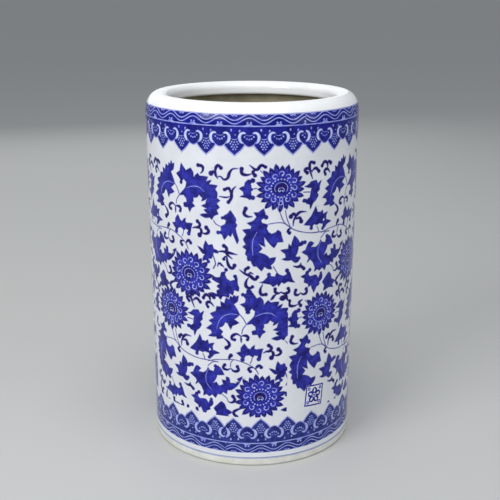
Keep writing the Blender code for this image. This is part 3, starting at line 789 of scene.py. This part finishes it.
def turned_mesh(name, profile, inks=None):
    """A solid of revolution from a closed anticlockwise profile; inks are its edges' material slots.
    A profile point on the axis becomes one vertex."""
    points, rings = [], []
    for r, z in profile:
        turns = TURN_SEGMENTS if r else 1
        rings.append([len(points) + i for i in range(turns)])
        angles = 2 * math.pi * np.arange(turns) / TURN_SEGMENTS
        points += [(MM * r * math.sin(a), -MM * r * math.cos(a), MM * z) for a in angles]
    faces, slots = [], []
    for edge, (ring, following) in enumerate(zip(rings, rings[1:] + rings[:1])):
        if len(ring) == len(following) == 1:
            continue
        for here in range(TURN_SEGMENTS):
            there = (here + 1) % TURN_SEGMENTS
            corners = [ring[here % len(ring)], ring[there % len(ring)],
                       following[there % len(following)], following[here % len(following)]]
            faces.append(list(dict.fromkeys(corners)))
            slots.append(inks[edge] if inks else 0)
    mesh = bpy.data.meshes.new(name)
    mesh.from_pydata(points, [], faces)
    mesh.polygons.foreach_set("use_smooth", np.ones(len(faces), bool))
    mesh.polygons.foreach_set("material_index", np.array(slots, np.int32))
    mesh.set_sharp_from_angle(angle=SHARP_ANGLE)
    return mesh


def lip_profile():
    base = LIP_SEAM_Z + SEAM_GAP
    crest_r = MOUTH_RADIUS - LIP_ROUND_WIDTH
    nose_r = LIP_BORE_RADIUS + LIP_NOSE_RADIUS
    nose_z = HEIGHT - LIP_TOP_SLOPE * (crest_r - nose_r) - LIP_NOSE_RADIUS
    first = math.asin((base - ROUNDING_Z) / LIP_ROUND_HEIGHT)
    heights = ROUNDING_Z + LIP_ROUND_HEIGHT * np.sin(np.linspace(first, math.pi / 2, 14))
    outside = [(float(outer_radius(z)), z) for z in heights]
    nose = arc(nose_r, nose_z, LIP_NOSE_RADIUS, 96, 180, 12)
    under = LIP_UNDER_RADIUS
    nose += arc(LIP_BORE_RADIUS + under, nose_z - LIP_NOSE_RADIUS + under, under, 180, 270, 8)
    return outside + nose + [(inner_radius(base), base)]


def wall_profile():
    """The thrown wall behind the sheets, with the plain white band below them."""
    base, top = FOOT_SEAM_Z + SEAM_GAP, LIP_SEAM_Z
    depth = SHEET_THICKNESS + SEAM_GAP
    band_top = LOWER_BORDER_BASE_Z
    outside = [(float(outer_radius(base)) - GROOVE_DEPTH, base),
               (float(outer_radius(base + GROOVE_DEPTH)), base + GROOVE_DEPTH),
               (float(outer_radius(band_top)), band_top), (float(outer_radius(band_top)) - depth, band_top)]
    heights = ROUNDING_Z + LIP_ROUND_HEIGHT * np.sin(np.radians(np.linspace(0, 32.8, 8)))
    outside += [(float(outer_radius(z)) - depth, float(min(z, top))) for z in heights]
    return [(inner_radius(base), base)] + outside + [(inner_radius(top), top)]


def floor_profile():
    base = FOOT_SEAM_Z + SEAM_GAP
    radius = inner_radius(base) - SEAM_GAP
    top, edge = base + FLOOR_THICKNESS, FLOOR_EDGE_RADIUS
    return [(0.0, base), (radius, base)] + arc(radius - edge, top - edge, edge, 0, 90, 6) + [(0.0, top)]


def foot_profile():
    top, edge = FOOT_SEAM_Z, FOOT_EDGE_RADIUS
    inside_r = FOOT_RADIUS - FOOT_RING_WIDTH
    points = arc(inside_r + edge, edge, edge, 180, 270, 6)
    points += arc(float(outer_radius(edge)) - edge, edge, edge, 270, 360, 10)
    points += [(float(outer_radius(top - GROOVE_DEPTH)), top - GROOVE_DEPTH),
               (float(outer_radius(top)) - GROOVE_DEPTH, top), (inside_r, top)]
    return points


# ---- glazes and inks ----

def linear(colour):
    """An 0-255 sRGB colour as the linear value that a shader takes."""
    channels = [c / 255 for c in colour]
    return [c / 12.92 if c <= 0.04045 else ((c + 0.055) / 1.055) ** 2.4 for c in channels] + [1.0]


IOR, SPECULAR = 1.5, 0.28
SPECK_SCALE, SPECK_SIZE = 55.0, (0.035, 0.055)
PEEL_SCALE, PEEL_STRENGTH, PEEL_DEPTH = 260.0, 0.25, 0.00004


def added(tree, kind, **values):
    """A new node of a kind, with these values in its inputs."""
    node = tree.nodes.new("ShaderNode" + kind)
    for name, value in values.items():
        node.inputs[name].default_value = value
    return node


def ramp(tree, places, colours):
    node = added(tree, "ValToRGB")
    for number in (0, 1):
        node.color_ramp.elements[number].position = places[number]
        node.color_ramp.elements[number].color = colours[number]
    return node


def glazed(name, dark, light, patch=0.012, speck=None, roughness=0.12, contrast=(0.35, 0.65)):
    """Glossy glaze over a tone that drifts between dark and light in patches of the given size."""
    material = bpy.data.materials.new(name)
    material.use_nodes = True
    tree = material.node_tree
    shader = tree.nodes["Principled BSDF"]
    shader.inputs["Roughness"].default_value = roughness
    shader.inputs["IOR"].default_value = IOR
    shader.inputs["Specular IOR Level"].default_value = SPECULAR
    link = tree.links.new
    place = added(tree, "TexCoord").outputs["Object"]
    drift = added(tree, "TexNoise", Scale=1 / patch, Detail=4.0, Roughness=0.6)
    shades = ramp(tree, contrast, (linear(dark), linear(light)))
    link(place, drift.inputs["Vector"])
    link(drift.outputs["Fac"], shades.inputs["Fac"])
    tone = shades.outputs["Color"]
    if speck:
        spots = added(tree, "TexVoronoi", Scale=SPECK_SCALE)
        pick = ramp(tree, SPECK_SIZE, ((1, 1, 1, 1), (0, 0, 0, 1)))
        blend = added(tree, "Mix")
        blend.data_type = "RGBA"
        blend.inputs["B"].default_value = linear(speck)
        link(place, spots.inputs["Vector"])
        link(spots.outputs["Distance"], pick.inputs["Fac"])
        link(pick.outputs["Color"], blend.inputs["Factor"])
        link(tone, blend.inputs["A"])
        tone = blend.outputs["Result"]
    link(tone, shader.inputs["Base Color"])
    peel = added(tree, "TexNoise", Scale=PEEL_SCALE, Detail=1.0)
    bump = added(tree, "Bump", Strength=PEEL_STRENGTH, Distance=PEEL_DEPTH)
    link(place, peel.inputs["Vector"])
    link(peel.outputs["Fac"], bump.inputs["Height"])
    link(bump.outputs["Normal"], shader.inputs["Normal"])
    return material


# ---- the pot ----

LAY_ERROR = 2.5
LOWER_DROP = -108.5
LOWER_LAY_X = 28.8
TILTED_ABOUT = (-64.3, 234.3)
TILTED_TO = (-4.8, 130.0)
TILT = math.radians(2.6)
LOWER_BORDER_TURNOVER = 314.5
LOWER_BORDER_PITCH = 23.8

# From a border sheet's left edge to the centre of a heart.
UPPER_BORDER_LEAD = -4.4
LOWER_BORDER_LEAD = 18.7


def upper_row(unit):
    """The upper row's repeats. The first sheet, left of the front seam, was laid a little low."""
    marks = []
    for number in range(-1, 5):
        low = number in (-1, 0)
        marks += moved(unit, UPPER_SCROLL_START + SCROLL_WIDTH * number, 0.0 if low else LAY_ERROR)
    return marks


def lower_row(unit, marked_unit):
    """The lower row's straight repeats. The first one leaves room for the mark."""
    marks = moved(marked_unit, LOWER_LAY_X, LOWER_DROP)
    for number in (1, 2):
        marks += moved(unit, LOWER_LAY_X + SCROLL_WIDTH * number, LOWER_DROP)
    return marks


def tilted_sheet(unit):
    """The lower row's last sheet, laid a little askew to close the row."""
    shift = (TILTED_TO[0] - TILTED_ABOUT[0], TILTED_TO[1] - TILTED_ABOUT[1])
    marks = []
    for number in (0, 1):
        base = moved(unit, UPPER_SCROLL_START + SCROLL_WIDTH * number, 0.0)
        marks += moved(base, shift[0], shift[1], TILT, TILTED_ABOUT)
    return marks


def once_round(marks):
    """The marks up to the seam that closes their row, then the same marks again a turn further on."""
    def middle(line):
        return 0.5 * (line[:, 0].min() + line[:, 0].max())
    before = [m for m in marks if middle(m[2]) < UPPER_SEAM_X]
    return before + [m for m in moved(marks, GIRTH, 0.0) if middle(m[2]) >= UPPER_SEAM_X]


def border_row(start_x, pitch, upside_down):
    tile = border_tile(pitch)
    if upside_down:
        tile = mirrored(tile, LOWER_BORDER_TURNOVER)
    marks = []
    for number in range(-1, BORDER_REPEATS + 2):
        marks += moved(tile, start_x + pitch * number, 0.0)
    return marks


def row_seams(first, width):
    return [first + width * i for i in range(SHEETS_PER_ROW)] + [first + GIRTH]


def add_row(piece_name, node_name, seams, z_low, z_high, marks_of, materials, hole=None):
    """A row of sheets. The hole, where there is one, is in the first."""
    for number, (start, end) in enumerate(zip(seams, seams[1:]), 1):
        node = f"{node_name}_{number}"
        mesh = sheet_mesh(node, marks_of(number, start), start, end, z_low, z_high,
                          hole if number == 1 else None)
        add_piece(f"{piece_name}_{number}", mesh, node, materials)


def askew_square(half):
    """The mark's outline, where it lies on the wall."""
    return moved([mark("edge", box(half, -half, half))], MARK_X, MARK_Z, MARK_TILT)[0][2]


def add_scroll_rows(slots):
    unit = scroll_unit()
    upper = upper_row(unit)
    lower = lower_row(unit, scroll_unit(whole=False))
    tilted = moved(tilted_sheet(unit), GIRTH, 0.0)
    dipping = once_round(upper)
    add_row("upper_scroll_print", "upper_scroll_transfer",
            row_seams(UPPER_SCROLL_START, SCROLL_WIDTH), FIELD_SPLIT_Z, UPPER_BORDER_BASE_Z,
            lambda number, start: upper, slots)
    seams = row_seams(LOWER_SCROLL_START, SCROLL_WIDTH)
    seams[-2] = seams[-1] - LOWER_SCROLL_TRIM
    add_row("lower_scroll_print", "lower_scroll_transfer", seams, LOWER_BORDER_TOP_Z, FIELD_SPLIT_Z,
            lambda number, start: dipping + (tilted if number == SHEETS_PER_ROW else lower),
            slots, askew_square(MARK_HALF_SIDE))


def add_border_rows(slots, washed_slots):
    width = BORDER_PITCH * BORDER_REPEATS
    add_row("upper_border_print", "upper_border_transfer",
            row_seams(UPPER_BORDER_START, width), UPPER_BORDER_BASE_Z, LIP_SEAM_Z,
            lambda number, start: border_row(start + UPPER_BORDER_LEAD, BORDER_PITCH, False),
            slots)
    add_row("lower_border_print", "lower_border_transfer",
            row_seams(LOWER_BORDER_START, width), LOWER_BORDER_BASE_Z, LOWER_BORDER_TOP_Z,
            lambda number, start: border_row(start + LOWER_BORDER_LEAD, LOWER_BORDER_PITCH, True),
            washed_slots)


def add_mark(slots):
    marks = moved(blossom_mark(), MARK_X, MARK_Z, MARK_TILT)
    outline = askew_square(MARK_HALF_SIDE - SEAM_GAP)
    (x_low, z_low), (x_high, z_high) = outline.min(0), outline.max(0)
    mesh = sheet_mesh("blossom_mark_transfer", marks, x_low, x_high, z_low, z_high, outline=outline)
    add_piece("blossom_mark_print", mesh, "blossom_mark_transfer", slots)


def add_turned_pieces(ground):
    # The bore's glaze is darkened to olive grey: painted shade of the deep inside.
    inner = glazed("inner glaze with painted shade", (146, 140, 116), (176, 168, 144), patch=0.02, roughness=0.25)
    # The rim's glaze is a whiter copy of the wall's glaze: painted light on its lit top.
    lip = glazed("lip glaze", (246, 247, 249), (253, 253, 254), patch=0.03)
    # The floor's glaze has the same olive grey: painted shade at the bottom of the bore.
    floor = glazed("floor glaze", (146, 140, 116), (176, 168, 144), patch=0.02, roughness=0.3)
    foot = glazed("foot glaze", (216, 215, 206), (230, 230, 224), patch=0.01, roughness=0.2)
    # The groove above the foot gets a grey-blue tone: a painted shadow line in the groove.
    groove_shade = glazed("groove painted shade", (156, 164, 198), (176, 184, 212), patch=0.01)
    wall_line, foot_line = wall_profile(), foot_profile()
    # Each edge's place in the list of materials: the groove's edges take its painted shadow line, the wall's
    # last its bore, in painted shade.
    wall_inks = [0, 2] + [0] * (len(wall_line) - 3) + [1]
    foot_inks = [0] * (len(foot_line) - 3) + [1, 0, 0]
    for name, line, inks, node, slot, materials in (
            ("thrown_wall", wall_line, wall_inks, "pot_wall", "wall_glaze", [ground, inner, groove_shade]),
            ("rolled_rim", lip_profile(), None, "rolled_lip", "lip_glaze", [lip]),
            ("floor_disc", floor_profile(), None, "floor_slab", "floor_glaze", [floor]),
            ("foot_rim", foot_line, foot_inks, "foot_ring", "foot_glaze", [foot, groove_shade])):
        add_piece(name, turned_mesh(name, line, inks), node, materials)


def ink_materials():
    return {
        "ground": glazed("ground glaze", (221, 223, 230), (231, 233, 240), patch=0.03,
                         speck=(202, 208, 216)),
        "halo": glazed("ink bleed", (160, 164, 220), (190, 194, 232), patch=0.006),
        "stem": glazed("fine line ink", (58, 54, 104), (96, 94, 140), patch=0.006),
        "edge": glazed("leaf edge ink", (8, 4, 84), (24, 20, 124), patch=0.004),
        "leaf": glazed("leaf ink", (10, 8, 106), (48, 52, 182), patch=0.007, contrast=(0.36, 0.66)),
        "curl": glazed("curl ink", (14, 2, 78), (28, 14, 110), patch=0.004),
        "petal": glazed("petal ink", (28, 28, 140), (54, 58, 180), patch=0.006),
        "pale": glazed("pale line ink", (140, 150, 228), (190, 198, 246), patch=0.005),
        "band": glazed("border ink", (12, 14, 106), (32, 36, 150), patch=0.006),
        "band_pale": glazed("border pale ink", (124, 134, 220), (170, 180, 240), patch=0.005),
        "horn": glazed("heart horn ink", (186, 194, 242), (220, 226, 250), patch=0.005),
    }


def build_pot():
    inks = ink_materials()
    slots = [inks[name] for name in INKS]
    add_scroll_rows(slots)
    washed = dict(inks, band=glazed("washed border ink", (14, 24, 100), (48, 58, 142), patch=0.006),
                  horn=glazed("washed horn ink", (150, 160, 222), (182, 190, 236), patch=0.005))
    add_border_rows(slots, [washed[name] for name in INKS])
    add_mark(slots)
    add_turned_pieces(inks["ground"])


# ---- floor, light and camera ----

CAMERA_PLACE = (-0.00183, -0.7966, 0.3988)
CAMERA_PITCH = 0.2828
CAMERA_LENS = 66.2
SENSOR_WIDTH = 36.0
FLOOR_SIDE = 80.0
SKY_COLOUR, SKY_STRENGTH = (0.8, 0.85, 0.9, 1), 0.38
LIT_POINT = (0, 0, 0.16)

# The area lights: place, size in metres, and power in watts.
LIGHTS = {
    "key": ((-1.1, -1.2, 1.0), (0.9, 0.9), 14.9),
    "fill": ((1.3, -0.9, 0.6), (0.8, 1.0), 3.0),
    "front": ((0, -1.7, 0.85), (1.2, 0.8), 3.4),
    "top": ((0, -0.4, 1.6), (1.0, 1.0), 8.0),
    "back": ((-0.4, 1.5, 0.9), (1.6, 1.2), 4.0),
}


def in_scene(name, data, place):
    thing = bpy.data.objects.new(name, data)
    bpy.context.scene.collection.objects.link(thing)
    thing.location = place
    return thing


def area_light(name, place, size, power):
    data = bpy.data.lights.new(name, "AREA")
    data.shape = "RECTANGLE"
    data.size, data.size_y = size
    data.energy = power
    aim = (Vector(LIT_POINT) - Vector(place)).to_track_quat("-Z", "Y")
    in_scene(name, data, place).rotation_euler = aim.to_euler()


def build_studio():
    bpy.ops.mesh.primitive_plane_add(size=FLOOR_SIDE, location=(0, 0, 0))
    floor = bpy.context.object
    floor.name = "studio_floor"
    paper = bpy.data.materials.new("studio paper")
    paper.use_nodes = True
    shader = paper.node_tree.nodes["Principled BSDF"]
    shader.inputs["Base Color"].default_value = linear((205, 205, 203))
    shader.inputs["Roughness"].default_value = 0.75
    floor.data.materials.append(paper)
    world = bpy.data.worlds.new("studio")
    world.use_nodes = True
    sky = world.node_tree.nodes["Background"].inputs
    sky["Color"].default_value = SKY_COLOUR
    sky["Strength"].default_value = SKY_STRENGTH
    scene = bpy.context.scene
    scene.world = world
    for name, (place, size, power) in LIGHTS.items():
        area_light(name, place, size, power)
    data = bpy.data.cameras.new("camera")
    data.lens = CAMERA_LENS
    data.sensor_width = SENSOR_WIDTH
    scene.camera = in_scene("camera", data, CAMERA_PLACE)
    scene.camera.rotation_euler = (math.pi / 2 - CAMERA_PITCH, 0, 0)
    scene.view_settings.view_transform = "Standard"


build_pot()
build_studio()
bpy.context.view_layer.update()
